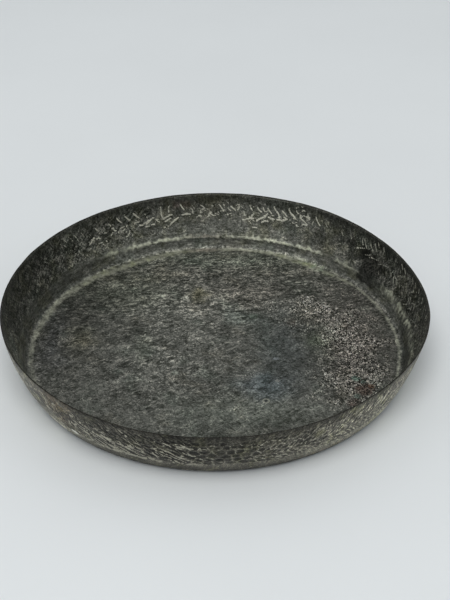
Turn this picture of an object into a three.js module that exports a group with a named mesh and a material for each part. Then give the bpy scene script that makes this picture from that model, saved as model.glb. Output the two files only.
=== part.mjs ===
// A round, flat-bottomed dish raised by hand from one sheet of copper, with a wiped tin lining.
//
// Frame: millimetres, +Z up. The origin is the centre of the underside, on the surface the dish
// stands on. The dish is round about +Z, apart from a slight ovality, a slightly uneven wall
// height and three places where the rim is pushed out or in. All of these are nothing at the
// base and reach their full size at the rim.
//
// Pieces:
//   copper_body  the raised sheet: flat floor, rounded corner, flared wall and plain cut rim
//   tin_lining   the tin coat over the inside, from the floor to just below the rim

import * as THREE from "three";

// ---- driving dimensions, mm --------------------------------------------------------------------
const RIM_RADIUS = 190.0; // outside of the wall at the rim, before the hand work
const HEIGHT = 53.2; // underside to rim, mean round the dish
const SHEET = 1.0; // copper sheet thickness
const TIN = 0.2; // tin lining thickness
const JOIN_GAP = 0.05; // keeps the two solids apart where tin meets copper
const LINING_TRIM = 0.2; // the lining's wall is shortened by this much at its top
const CORNER_RADIUS = 6.0; // outside radius between floor and wall
const RIM_SOFT = 0.25; // the cut edge of the rim is filed off by this much

// The wall flares outwards, more steeply out towards the base, so it is gently bellied:
// outside radius = RIM_RADIUS - WALL_LEAN * drop - WALL_BELLY * drop^2, drop = depth below the rim.
const WALL_LEAN = 0.103; // mm outwards per mm of height, at the rim
const WALL_BELLY = 0.0046; // per mm

// Hand-work irregularity, full size at the rim.
const OVAL_AXES = -0.0048; // share of the radius: added along X, taken off along Y
const OVAL_DIAGONALS = 0.0107; // the same, between the two diagonals
const RISE_X = -0.0157; // height change per mm towards +X
const RISE_Y = 0.0075; // height change per mm towards +Y

// Places where the rim stands out from the oval, or in from it where `out` is negative.
// at: degrees from +X towards +Y; halfWidth: degrees; out: mm at the rim
const PUSHES = [
  { at: -12, halfWidth: 32, out: 3.0 },
  { at: 36, halfWidth: 26, out: -1.0 },
  { at: 186, halfWidth: 24, out: 0.6 },
];
const PUSH_FADE = 3; // power of the height share, so a push is soon gone below the rim

// Mesh resolution
const SEGMENTS = 96; // round the dish
const WALL_STEPS = 5;
const CORNER_STEPS = 3;

// ---- materials ---------------------------------------------------------------------------------
const copperMaterial = () =>
  new THREE.MeshStandardMaterial({ color: 0x5f5a50, roughness: 0.55, metalness: 0.8 });

const tinMaterial = () =>
  new THREE.MeshStandardMaterial({ color: 0x5b5e5a, roughness: 0.6, metalness: 0.7 });

// ---- the section -------------------------------------------------------------------------------
const WALL_TOP = HEIGHT - RIM_SOFT; // where the outer skin gives way to the filed edge

function wallRadius(z) {
  const drop = HEIGHT - z;
  return RIM_RADIUS - WALL_LEAN * drop - WALL_BELLY * drop * drop;
}

// Angle of the wall from the vertical at height z.
const wallLean = (z) => Math.atan(WALL_LEAN + 2 * WALL_BELLY * (HEIGHT - z));

// The outer corner arc is tangent to the underside and to the wall. The height of its end depends
// on the wall's lean there, so it is found by repeated substitution from a rough first value.
const FIRST_END = 3.0;
const SOLVE_ROUNDS = 40;

function cornerArc() {
  let endZ = FIRST_END;
  for (let i = 0; i < SOLVE_ROUNDS; i++) {
    endZ = CORNER_RADIUS * (1 - Math.sin(wallLean(endZ)));
  }
  const lean = wallLean(endZ);
  const centreRadius = wallRadius(endZ) - CORNER_RADIUS * Math.cos(lean);
  return { endZ, lean, centreRadius };
}
const ARC = cornerArc();

// Section points of the surface `inset` inside the outer skin, from the axis up to the rim.
// Every skin's points stand on the same normals, so neighbouring skins keep an even distance.
// `trim` shortens the last straight stretch, in mm.
function skin(inset, trim = 0) {
  const points = [new THREE.Vector2(0, inset)];

  const radius = CORNER_RADIUS - inset;
  for (let i = 0; i <= CORNER_STEPS; i++) {
    // from straight down to the direction of the wall's normal
    const angle = ((Math.PI / 2 - ARC.lean) * i) / CORNER_STEPS;
    points.push(
      new THREE.Vector2(
        ARC.centreRadius + radius * Math.sin(angle),
        CORNER_RADIUS - radius * Math.cos(angle),
      ),
    );
  }

  for (let i = 1; i <= WALL_STEPS; i++) {
    const z = ARC.endZ + ((WALL_TOP - ARC.endZ) * i) / WALL_STEPS;
    const lean = wallLean(z);
    points.push(
      new THREE.Vector2(
        wallRadius(z) - inset * Math.cos(lean),
        z + inset * Math.sin(lean),
      ),
    );
  }

  if (trim > 0) {
    const [before, last] = points.slice(-2);
    last.lerp(before, trim / last.distanceTo(before));
  }
  return points;
}

// The same skin carried over the filed corner to the cut edge. `side` is the way the corner turns:
// -1 towards the axis, from the outer skin; 1 away from it, from the inner skin.
function skinToCutEdge(inset, side) {
  const points = skin(inset);
  const last = points[points.length - 1];
  const lean = wallLean(WALL_TOP);
  const corner = new THREE.Vector2(
    last.x + RIM_SOFT * (Math.sin(lean) + side * Math.cos(lean)),
    last.y + RIM_SOFT * (Math.cos(lean) - side * Math.sin(lean)),
  );
  return [...points, corner];
}

// ---- from section to solid ---------------------------------------------------------------------
// Radial movement, in mm, from the pushes at `angle` and at `share` of the height.
function pushAt(angle, share) {
  let move = 0;
  for (const { at, halfWidth, out } of PUSHES) {
    const away = THREE.MathUtils.radToDeg(angle) - at;
    // -1 to 1 across the push, measured the short way round the dish
    const across = (away - 360 * Math.round(away / 360)) / halfWidth;
    if (Math.abs(across) < 1) move += out * (1 - across * across) ** 2;
  }
  return move * share ** PUSH_FADE;
}

// Adds the ovality, the pushes and the uneven height, by height above the underside.
function addHandWork(geometry) {
  const position = geometry.getAttribute("position");
  for (let i = 0; i < position.count; i++) {
    const x = position.getX(i);
    const y = position.getY(i);
    const z = position.getZ(i);
    const share = z / HEIGHT;
    const angle = Math.atan2(y, x);
    const oval = OVAL_AXES * Math.cos(2 * angle) + OVAL_DIAGONALS * Math.sin(2 * angle);
    // The lower limit of 1 mm avoids a division by zero on the axis.
    const push = pushAt(angle, share) / Math.max(1, Math.hypot(x, y));
    const stretch = 1 + share * oval + push;
    position.setXYZ(i, x * stretch, y * stretch, z + share * (RISE_X * x + RISE_Y * y));
  }
  position.needsUpdate = true;
}

// Turns every triangle's face to its other side.
function flipFaces(geometry) {
  const index = geometry.getIndex();
  for (let i = 0; i < index.count; i += 3) {
    const second = index.getX(i + 1);
    index.setX(i + 1, index.getX(i + 2));
    index.setX(i + 2, second);
  }
}

// The lathe splits each four-sided patch along one diagonal. With `mirrored` the section runs the
// other way round, so that a lining's outer face is split like the face of the sheet it lies on
// and the gap between them stays even.
function shell(outerSkin, innerSkin, { mirrored = false } = {}) {
  const profile = [...outerSkin, ...innerSkin.slice().reverse()];
  if (mirrored) profile.reverse();
  const geometry = new THREE.LatheGeometry(profile, SEGMENTS);
  if (mirrored) flipFaces(geometry);
  geometry.rotateX(Math.PI / 2); // the lathe turns about +Y; the dish stands along +Z
  addHandWork(geometry);
  geometry.computeVertexNormals();
  return geometry;
}

// ---- the pieces --------------------------------------------------------------------------------
// The sheet is cut square to the wall at the rim, and both corners of the cut are filed.
function copperBody() {
  const geometry = shell(skinToCutEdge(0, -1), skinToCutEdge(SHEET, 1));
  const mesh = new THREE.Mesh(geometry, copperMaterial());
  mesh.name = "copper_body";
  return mesh;
}

function tinLining() {
  const inset = SHEET + JOIN_GAP;
  const outerSkin = skin(inset, LINING_TRIM);
  const innerSkin = skin(inset + TIN, LINING_TRIM);
  const geometry = shell(outerSkin, innerSkin, { mirrored: true });
  const mesh = new THREE.Mesh(geometry, tinMaterial());
  mesh.name = "tin_lining";
  return mesh;
}

const dish = new THREE.Group();
dish.add(copperBody(), tinLining());

export default dish;
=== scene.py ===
"""Hand-raised tinned copper dish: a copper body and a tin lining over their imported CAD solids.

The dish stands on its floor, axis on Z, rim up. -Y is the front, +X the right; angles round the
dish are degrees from +X towards +Y, so the far wall is at 90 and the front at -90.
    copper_body_skin   the copper sheet: outside, underside, cut rim
    tin_lining_skin    the wiped tin coat: floor, corner, inside of the wall
Shapes are worked out in millimetres; meshes are written in metres.
"""

import math

import bpy
import numpy as np
from mathutils import Vector, Matrix


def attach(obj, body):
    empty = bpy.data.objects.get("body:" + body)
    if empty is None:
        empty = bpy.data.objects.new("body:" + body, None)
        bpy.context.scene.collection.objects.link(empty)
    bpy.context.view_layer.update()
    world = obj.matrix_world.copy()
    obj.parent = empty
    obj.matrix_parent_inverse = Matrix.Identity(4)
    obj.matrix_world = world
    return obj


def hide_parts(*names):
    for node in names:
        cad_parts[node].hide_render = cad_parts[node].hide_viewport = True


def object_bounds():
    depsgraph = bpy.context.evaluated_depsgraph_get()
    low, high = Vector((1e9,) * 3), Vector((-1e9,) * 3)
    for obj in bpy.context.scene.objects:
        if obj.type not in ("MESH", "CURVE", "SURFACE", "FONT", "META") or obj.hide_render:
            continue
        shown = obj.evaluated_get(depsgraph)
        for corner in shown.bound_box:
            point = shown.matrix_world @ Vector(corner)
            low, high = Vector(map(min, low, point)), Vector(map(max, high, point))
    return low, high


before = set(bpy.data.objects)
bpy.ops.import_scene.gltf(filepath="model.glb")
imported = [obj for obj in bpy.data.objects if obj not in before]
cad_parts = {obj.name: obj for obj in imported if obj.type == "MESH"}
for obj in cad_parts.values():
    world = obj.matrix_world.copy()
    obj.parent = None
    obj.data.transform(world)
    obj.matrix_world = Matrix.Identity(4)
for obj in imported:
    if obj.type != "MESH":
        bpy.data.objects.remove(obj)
cad_lo, cad_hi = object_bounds()
TAU = 2 * math.pi

# ---------------------------------------------------------------- section of the dish, mm
RIM_RADIUS, HEIGHT = 190.0, 53.2
SHEET, TIN, JOIN_GAP = 1.0, 0.2, 0.05  # copper, tin, space between them
CORNER_RADIUS, RIM_SOFT = 6.0, 0.25
WALL_LEAN, WALL_BELLY = 0.103, 0.0046  # linear and square terms below the rim

# Hand work: ovalness by twice the angle, and slope of the rim along X and Y
OVAL_COS2, OVAL_SIN2, RISE_X, RISE_Y = -0.0048, 0.0107, -0.0157, 0.0075
PUSHED = [(-12, 32, 3.0), (36, 26, -1.0), (186, 24, 0.6)]  # angle, half width, mm out at the rim


def wall_radius(z):
    drop = HEIGHT - z
    return RIM_RADIUS - WALL_LEAN * drop - WALL_BELLY * drop * drop


def wall_lean(z):
    return np.arctan(WALL_LEAN + 2 * WALL_BELLY * (HEIGHT - z))


# Height where the corner arc meets the wall, found by repeated substitution
Z_END = 3.0
for _ in range(40):
    Z_END = CORNER_RADIUS * (1 - math.sin(wall_lean(Z_END)))
LEAN_END = float(wall_lean(Z_END))
FLOOR_R = wall_radius(Z_END) - CORNER_RADIUS * math.cos(LEAN_END)
ARC_END = math.pi / 2 - LEAN_END
WALL_TOP = HEIGHT - RIM_SOFT

# ---------------------------------------------------------------- ring spacing
N_WALL = 1296
COLUMN_ANGLE = TAU / N_WALL
MARK_RADIUS = 180  # mm, nominal wall radius on which the hammer marks are laid out
COLUMN_WIDTH = MARK_RADIUS * TAU / N_WALL

# Points in a ring: (floor radius beyond which it holds, count); the first serves corner and wall
VISIBLE_COUNTS = [(164, N_WALL), (78, 432), (34, 216), (10, 72), (.001, 24), (-1, 1)]
HIDDEN_COUNTS = [(60, 216), (10, 72), (.001, 24), (-1, 1)]

TIN_FLOOR = np.concatenate([
    [0, 3, 6, 9], np.arange(12, 34, 2.8), np.arange(36, 164, 3.2), [164.4, 165.6, 166.8]])
BODY_FLOOR = np.concatenate([
    [0, 5], np.arange(12, 34, 5.), np.arange(36, 164, 4.), [164.4, 166.2]])
VISIBLE_ARC = np.linspace(0, ARC_END, 7)
VISIBLE_WALL = np.linspace(Z_END, WALL_TOP, 48)[1:]
HIDDEN_FLOOR = np.concatenate([[0], np.linspace(12, 162, 14)])
HIDDEN_ARC = np.linspace(0, ARC_END, 5)
HIDDEN_WALL = np.linspace(Z_END, WALL_TOP, 16)[1:]


# ---------------------------------------------------------------- noise and masks
class Noise:
    """Seeded gradient noise in three dimensions, about -1 to 1."""

    def __init__(self, seed):
        rng = np.random.default_rng(seed)
        self.order = np.concatenate([rng.permutation(256)] * 3)
        slopes = rng.normal(size=(256, 3))
        self.slopes = slopes / np.linalg.norm(slopes, axis=1)[:, None]

    def __call__(self, point, size=1):
        x, y, z = np.broadcast_arrays(*(c / size for c in point))
        xi, yi, zi = np.floor(x), np.floor(y), np.floor(z)
        fx, fy, fz = x - xi, y - yi, z - zi
        xi, yi, zi = (a.astype(int) & 255 for a in (xi, yi, zi))
        u, v, w = (f * f * f * (f * (f * 6 - 15) + 10) for f in (fx, fy, fz))
        order = self.order
        total = 0.0
        for dx in (0, 1):
            for dy in (0, 1):
                for dz in (0, 1):
                    corner = order[order[(xi + dx) & 255] + ((yi + dy) & 255)]
                    g = self.slopes[order[corner + ((zi + dz) & 255)]]
                    dot = g[..., 0] * (fx - dx) + g[..., 1] * (fy - dy) + g[..., 2] * (fz - dz)
                    near_xy = dot * (u if dx else 1 - u) * (v if dy else 1 - v)
                    total = total + near_xy * (w if dz else 1 - w)
        return total * 1.6

    def fbm(self, point, size, octaves):
        """Layers of noise, each about twice as fine and half as strong as the last."""
        x, y, z = (c / size for c in point)
        total, amp, norm, k = 0.0, 1.0, 0.0, 1.0
        for i in range(octaves):
            layer = self((x * k + 17.3 * i, y * k - 9.1 * i, z * k + 4.7 * i))
            total = total + amp * layer
            norm += amp
            amp *= 0.5
            k *= 2.03
        return total / norm


BROAD, MIDDLE, FINE, BLOTCH, CLOUD = (Noise(seed) for seed in (11, 23, 37, 51, 77))


def smooth(start, end, x):
    t = np.clip((x - start) / (end - start), 0, 1)
    return t * t * (3 - 2 * t)


def bump(x, centre, half):
    """1 at centre, 0 beyond half, smooth."""
    t = np.clip(np.abs(x - centre) / half, 0, 1)
    return (1 - t * t) ** 2


def sector(degrees, centre, half):
    """A bump over a stretch of the way round the dish."""
    return bump((degrees - centre + 180) % 360 - 180, 0, half)


def blob(x, y, centre_x, centre_y, half_x, half_y, power=1):
    """1 at the centre of a soft oval, falling off outwards."""
    distance = ((x - centre_x) / half_x) ** 2 + ((y - centre_y) / half_y) ** 2
    return np.exp(-distance ** power)


def around(degrees, knots):
    """Piecewise linear round the dish: knots are (angle, value)."""
    k = sorted((a % 360, v) for a, v in knots)
    k = [(k[-1][0] - 360, k[-1][1])] + k + [(k[0][0] + 360, k[0][1])]
    return np.interp(np.mod(degrees, 360), *zip(*k))


# ---------------------------------------------------------------- shape shared by both faces
def hand_work(x, y, z):
    """Makes the true round shape oval, pushed and tilted, more so with height."""
    share = z / HEIGHT
    angle = np.arctan2(y, x)
    push = sum(mm * sector(np.degrees(angle), at, half) for at, half, mm in PUSHED)
    oval = OVAL_COS2 * np.cos(2 * angle) + OVAL_SIN2 * np.sin(2 * angle)
    stretch = 1 + share * oval + push * share ** 3 / np.maximum(1, np.hypot(x, y))
    return x * stretch, y * stretch, z + share * (RISE_X * x + RISE_Y * y)


def sheet_wobble(r, z, x, y):
    """Movement of the whole sheet along its inward normal, mm."""
    along = 0.22 * BROAD((x / 34, y / 34, z / 40)) + 0.16 * BROAD((x / 15 + 7, y / 15, z / 18))
    floor = 0.10 * BROAD((x / 30, y / 30, 3.1)) + 0.05 * MIDDLE((x / 12, y / 12, 8.8))
    return smooth(2, 45, z) * along + smooth(FLOOR_R - 2, FLOOR_R - 30, r) * floor


def rim_height(theta, z):
    """Uneven cut of the rim, mm, fading down the wall."""
    c, s = np.cos(theta), np.sin(theta)
    cut = 0.30 * BROAD((c * 3.1 + 5, s * 3.1, 0.3)) + 0.22 * MIDDLE((c * 9, s * 9 + 3, 1.7))
    return (cut + 0.10 * FINE((c * 30, s * 30, 2.2))) * smooth(18, HEIGHT, z)


class Skin:
    """One face of the sheet as rings of points, from the axis outwards and up the wall."""

    def __init__(self, inset, floor, arc, wall, count_table):
        bend = CORNER_RADIUS - inset
        # radius, height, inward normal (radial, up), corner angle, wall height
        rings = [(r, inset, 0.0, 1.0, 0.0, 0.0) for r in floor]
        for a in arc:
            c, s = math.cos(a), math.sin(a)
            rings.append((FLOOR_R + bend * s, CORNER_RADIUS - bend * c, -s, c, a, 0.0))
        for z in wall:
            lean = float(wall_lean(z))
            c, s = math.cos(lean), math.sin(lean)
            rings.append((wall_radius(z) - inset * c, z + inset * s, -c, s, 0.0, z))
        self.counts = [next(n for beyond, n in count_table if r > beyond) for r in floor]
        self.counts += [count_table[0][1]] * (len(arc) + len(wall))
        self.bend = bend

        # the same over every point
        ring = np.repeat(np.arange(len(rings)), self.counts)
        self.r, self.z, self.normal_r, self.normal_z, self.arc, self.wall_z = np.array(rings)[ring].T
        self.theta = np.concatenate([np.arange(n) * (TAU / n) for n in self.counts])
        self.degrees = np.degrees(self.theta)
        self.x, self.y = self.r * np.cos(self.theta), self.r * np.sin(self.theta)
        self.on_wall = ring >= len(floor) + len(arc)
        self.on_arc = (ring >= len(floor)) & ~self.on_wall

    def around(self, knots):
        return around(self.degrees, knots)

    def sector(self, centre, half):
        return sector(self.degrees, centre, half)

    def from_wall(self, grid):
        """Values of a wall grid at every point, 0 on floor and corner."""
        return np.concatenate([np.zeros(len(self.r) - grid.size), grid.ravel()])

    def rings(self, lift=0.0):
        """Final positions, mm, ring by ring, with lift mm along the inward normal."""
        move = sheet_wobble(self.r, self.z, self.x, self.y) + lift
        r = self.r + self.normal_r * move
        z = self.z + self.normal_z * move + rim_height(self.theta, self.z)
        points = np.stack(hand_work(r * np.cos(self.theta), r * np.sin(self.theta), z), 1)
        return np.split(points, np.cumsum(self.counts)[:-1])


# ---------------------------------------------------------------- rings to mesh
def stitch(n_a, start_a, n_b, start_b):
    """Faces between two rings whose counts are equal, or one a multiple of the other."""
    if n_a == n_b:
        return [(start_a + i, start_b + i, start_b + (i + 1) % n_b, start_a + (i + 1) % n_a)
                for i in range(n_a)]
    (few, few_start), (many, many_start) = sorted(((n_a, start_a), (n_b, start_b)))

    def few_at(i):
        return few_start + i % few

    def many_at(i):
        return many_start + i % many

    if few == 1:
        faces = [(few_start, many_at(i), many_at(i + 1)) for i in range(many)]
    else:
        faces = []
        ratio = many // few
        middle = ratio // 2
        for i in range(few):
            for j in range(ratio):
                if j == middle:
                    faces.append((few_at(i), many_at(i * ratio + middle), few_at(i + 1)))
                apex = few_at(i) if j < middle else few_at(i + 1)
                faces.append((apex, many_at(i * ratio + j), many_at(i * ratio + j + 1)))
    if n_a > n_b:
        faces = [(b, a, c) for a, b, c in faces]
    return faces


def build_mesh(name, rings, attributes, flip):
    """Joins each ring of points (mm) to the next and makes one mesh in metres."""
    starts = np.concatenate([[0], np.cumsum([len(p) for p in rings])])
    faces = []
    for i in range(len(rings) - 1):
        faces += stitch(len(rings[i]), int(starts[i]), len(rings[i + 1]), int(starts[i + 1]))
    if flip:
        faces = [f[::-1] for f in faces]
    points = np.concatenate(rings) * 0.001
    sizes = np.array([len(f) for f in faces])
    corners = np.array([v for f in faces for v in f], np.int32)
    mesh = bpy.data.meshes.new(name)
    mesh.vertices.add(len(points))
    mesh.vertices.foreach_set("co", points.astype(np.float32).ravel())
    mesh.loops.add(len(corners))
    mesh.loops.foreach_set("vertex_index", corners)
    mesh.polygons.add(len(faces))
    loop_starts = np.concatenate([[0], np.cumsum(sizes)[:-1]])
    mesh.polygons.foreach_set("loop_start", loop_starts.astype(np.int32))
    mesh.polygons.foreach_set("loop_total", sizes.astype(np.int32))
    mesh.update(calc_edges=True)
    mesh.validate()
    mesh.polygons.foreach_set("use_smooth", np.ones(len(mesh.polygons), bool))
    for key, values in attributes.items():
        rgba = np.ones((len(points), 4), np.float32)
        rgba[:, :3] = values
        attribute = mesh.attributes.new(key, "FLOAT_COLOR", "POINT")
        attribute.data.foreach_set("color", rgba.ravel())
    ob = bpy.data.objects.new(name, mesh)
    bpy.context.scene.collection.objects.link(ob)
    return ob


def extend(fields, n, **plain):
    """The same fields with n more points of a plain value each, 0 unless given."""
    return {key: np.concatenate([v, np.tile(np.asarray(plain.get(key, (0, 0, 0)), float), (n, 1))])
            for key, v in fields.items()}


# ---------------------------------------------------------------- hammer marks on the wall
class WallMap:
    """Height (mm), paleness and darkness of marks on a wall's grid, N_WALL points a row.

    sign is -1 seen from inside the dish and 1 from outside.
    """

    def __init__(self, heights, sign):
        self.heights, self.sign = heights, sign
        self.height, self.pale, self.dark = np.zeros((3, len(heights), N_WALL))

    def window(self, theta, z, reach, margin):
        """Grid index near a place, and the distances (mm) across and up from it."""
        half = int(reach / COLUMN_WIDTH) + margin
        centre = int(round(theta / TAU * N_WALL))
        cols = np.arange(centre - half, centre + half + 1)
        rows = np.where(np.abs(self.heights - z) < reach)[0]
        across = (cols * COLUMN_ANGLE - theta) * MARK_RADIUS * self.sign
        across, up = np.meshgrid(across, self.heights[rows] - z)
        return np.ix_(rows, cols % N_WALL), across, up

    def stroke(self, degrees, z, run, climb, width, rise, pale=0, bend=0, dark=0):
        """A slightly bent mark centred on (degrees, z), running by (run, climb) mm."""
        length = math.hypot(run, climb)
        reach = length / 2 + 2.5 * width
        ix, across, up = self.window(math.radians(degrees), z, reach, margin=2)
        ux, uz = run / length, climb / length
        along = across * ux + up * uz
        aside = -across * uz + up * ux - bend * (1 - (2 * along / length) ** 2)
        over = np.maximum(np.abs(along) - length / 2, 0)
        d2 = (aside / width) ** 2 + (over / (1.1 * width)) ** 2
        core = np.exp(-d2 * 1.6)
        lip = np.exp(-d2 * 0.35) - np.exp(-d2)
        pick = np.maximum if rise >= 0 else np.minimum
        self.height[ix] = pick(self.height[ix], rise * core) - 0.35 * rise * lip
        self.pale[ix] = np.maximum(self.pale[ix] * (1 - dark * core), pale * core)
        self.dark[ix] = np.maximum(self.dark[ix] * (1 - pale * core), dark * core)

    def slant(self, degrees, z, angle, length, **look):
        """A stroke given by its slope in degrees and its length."""
        a = math.radians(angle)
        self.stroke(degrees, z, length * math.cos(a), length * math.sin(a), **look)


# Marks on the far wall: degrees, height, run across, run up, strength.
# They lie in two rows, leaning one way above and the other way below.
MARKS = [
    (133.7, 22.8, 5.7, 0.4, 0.35), (132.4, 28.4, 10.2, 5.6, 0.65), (131.9, 31.1, 7.5, 2.3, 0.6),
    (129.5, 38.5, 2.6, -3.4, 0.45), (129.4, 28.4, 4.7, 0.9, 0.5), (129.1, 24.5, 3.8, 0, 0.4),
    (128.9, 29.8, 8, 0.7, 0.75), (128.8, 33.4, 1.6, -1.6, 0.6), (127.9, 21.3, 2.3, -2.2, 0.4),
    (126.8, 35.9, 0.4, -2.1, 0.45), (126.8, 23.1, 1.2, -3.4, 0.5), (126.4, 31.8, 5.9, -2.5, 0.45),
    (124.6, 37.4, 2, -2.8, 0.7), (124.4, 33.6, 4.4, 0.6, 0.6), (124, 29.7, 5.1, 3.7, 0.8),
    (123.3, 32.1, 2.5, -3.5, 0.9), (122.2, 28.7, 1.1, -3, 0.6), (121.3, 39.3, 4.1, -5.4, 0.8),
    (120.7, 31.6, 5.8, 1.5, 0.7), (120.5, 28.8, 4.9, 2.1, 0.6), (118.9, 24.7, -5.1, -6, 0.7),
    (118.5, 39.9, 4.9, -6.1, 0.85), (118.5, 33.9, -4.7, -5.8, 0.85), (117.6, 23.7, -0.4, -5.3, 0.45),
    (116.9, 31.5, 4.9, 2.9, 0.85), (115.4, 33, 4.3, 0.1, 0.85), (115.3, 39.2, 6.1, -6.6, 1),
    (114.1, 29.4, 5.6, -0.6, 0.7), (112.5, 31.3, 4.6, 2.5, 0.8), (112.3, 37.2, 2.4, -4.2, 0.7),
    (112.1, 26.5, 4.5, -0.6, 0.5), (111.1, 31.7, 7.8, 5, 0.85), (110.3, 27.4, 3.2, -0.6, 0.65),
    (109, 30.5, 3.2, 2.1, 0.5), (108.6, 30.2, 2.9, -2.7, 0.6), (107.3, 40.1, 0.3, -7, 0.4),
    (107, 33.7, 2, -5.9, 0.7), (105.3, 32.5, 9.2, 3.4, 0.9), (105.3, 29.6, 6, 2.8, 0.8),
    (104.7, 39.8, -0.9, -6.2, 0.5), (103.6, 26.8, 10.8, 7.5, 1), (100.5, 40.4, 3.3, -5.5, 0.7),
    (99.4, 32.6, 8.3, 0.1, 0.8), (95.6, 29.8, 5.8, 1.6, 0.4), (94.1, 39.3, 3.3, -3.2, 0.5),
    (91.9, 32.6, 2.5, 2.4, 0.6), (89.9, 31.4, 6.5, 1.6, 0.5), (88, 37.3, 3.3, -5.5, 0.5),
    (86.2, 32.2, 5, 0.8, 0.5), (84.6, 38, 4.5, -3.5, 0.6), (83, 38.6, -2, -4, 0.6),
    (82.2, 32.4, 2.5, -0.1, 0.5), (80.8, 32.2, 2.5, 0.5, 0.5), (80.8, 27.8, 5, 1, 0.7),
    (79, 39.9, 2.4, -4.5, 0.5), (79, 29.1, 5.9, 1.2, 0.7), (78.5, 32.5, 3.2, 3.7, 0.6),
    (77.4, 21, 5.1, 0, 0.4), (76.3, 39, 3.7, -4.3, 0.8), (76, 29.6, 6, 3.8, 0.8),
    (74.9, 39.4, 1.8, -3.6, 0.6), (74.4, 33.7, 4.3, 4.3, 0.8), (74.3, 27.7, 6.2, 1.8, 0.7),
    (74.2, 38.3, 2.7, 1.3, 0.6), (73.1, 39, 3.8, -4.5, 0.75), (72.4, 32.1, 5.5, -1, 0.8),
    (71.3, 41.8, 3.2, -4.6, 0.8), (70.3, 37, 3.1, -5.1, 0.95), (69.8, 31.5, 5.1, 0.6, 0.8),
    (68.3, 39.1, 4.9, -4.1, 0.9), (68.1, 32.9, 5.2, 2.2, 0.9), (66.5, 42.1, 3.5, -5.4, 0.8),
    (65.2, 37.7, 4.7, -3.4, 0.85), (65, 31.9, 6.3, 2, 0.45), (64.2, 43.5, 2.6, -2.9, 0.55),
    (63.6, 29.3, 2.2, 0.5, 0.45), (62.9, 39.2, 2, -4.6, 0.6), (62.3, 46, 2.6, 0.4, 0.5),
    (61.9, 36.4, 2.4, -0.6, 0.6), (61.6, 32.3, 6.5, 1.1, 0.5), (60.5, 42.2, 1.9, -4, 0.35),
    (58.7, 36.7, 1.7, 3.7, 0.5), (57.6, 32.7, 4.2, 1.9, 0.2), (57.1, 40, 5.4, -7.1, 0.75),
    (53.9, 39, 3, -3, 0.3), (51.5, 32.5, 3.2, 1.2, 0.05), (48.1, 38, 3, -4.4, 0.3),
    (44.8, 39, 2.5, -4.6, 0.3), (42, 27.8, 3.6, 1.6, 0.1),
]
# (degrees, factor) for the two rows away from MARKS, and for how thickly stray blows lie
ROW_STRENGTH = [(135, .9), (150, .55), (180, .4), (200, .5), (270, .8), (330, .8), (0, .8),
                (20, 1.0), (40, 1.)]
STRAY_SHARE = [(45, .25), (60, .22), (96, .22), (106, .3), (114, .35), (126, .45), (138, .8),
               (150, .6), (165, .3), (190, .35), (250, .6), (330, .6), (0, .45), (30, .45)]


def inner_rows(marks, rng):
    # two rows all round, left out where MARKS has its own
    d = 0.0
    while d < 360:
        if not 41 < d < 133:
            s = (0.42 + 0.3 * rng.random()) * around(d, ROW_STRENGTH)
            for shift, z, run, spread, climb in ((0, 40, 3.6, 1, -6), (1, 31.5, 7, 1.5, 3.2)):
                marks.stroke(d + shift + rng.normal(0, .35), z + rng.normal(0, 1.2),
                             run + rng.normal(0, spread), climb + rng.normal(0, 1),
                             width=.72 + .2 * rng.random(), rise=.20, pale=s,
                             bend=rng.normal(0, .5))
        d += 2.15 + rng.normal(0, .22)
    for d, z, run, climb, s in MARKS:
        marks.stroke(d, z, run, climb, width=.76 + .20 * s, rise=.18 + .14 * s,
                     pale=min(1, .42 + .62 * s), bend=rng.normal(0, .4))
        if rng.random() < .25:  # a fainter second blow beside the first
            marks.stroke(d + rng.normal(0, .6), z + rng.normal(0, 1.5), run * .6,
                         climb * .7 + rng.normal(0, .6), width=.7, rise=.12, pale=.55 * s,
                         bend=rng.normal(0, .4))
    # four close rows on the right-hand wall
    for row, run, climb in ((45.5, 2.6, -4.6), (37.0, 4.2, 3.2), (28.5, 3.4, -5.0), (22.0, 4.6, 3.0)):
        d = -42.0
        while d < 40:
            k = smooth(-42, -20, d) * smooth(44, 34, d) * (0.0 if d > 29 and row < 40 else 1.0)
            if k > 0.05:
                marks.stroke(d + rng.normal(0, .4), row + rng.normal(0, .9),
                             run + rng.normal(0, .8), climb + rng.normal(0, .8), width=.85,
                             rise=.24, pale=k * (.30 + .34 * rng.random()),
                             bend=rng.normal(0, .4))
                if rng.random() < .85:
                    marks.stroke(d + 1.0, row + rng.normal(0, .9), run, climb, width=1.0,
                                 rise=-.08, dark=k * rng.uniform(.5, 1.))
            d += 2.0 + rng.normal(0, .2)


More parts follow.
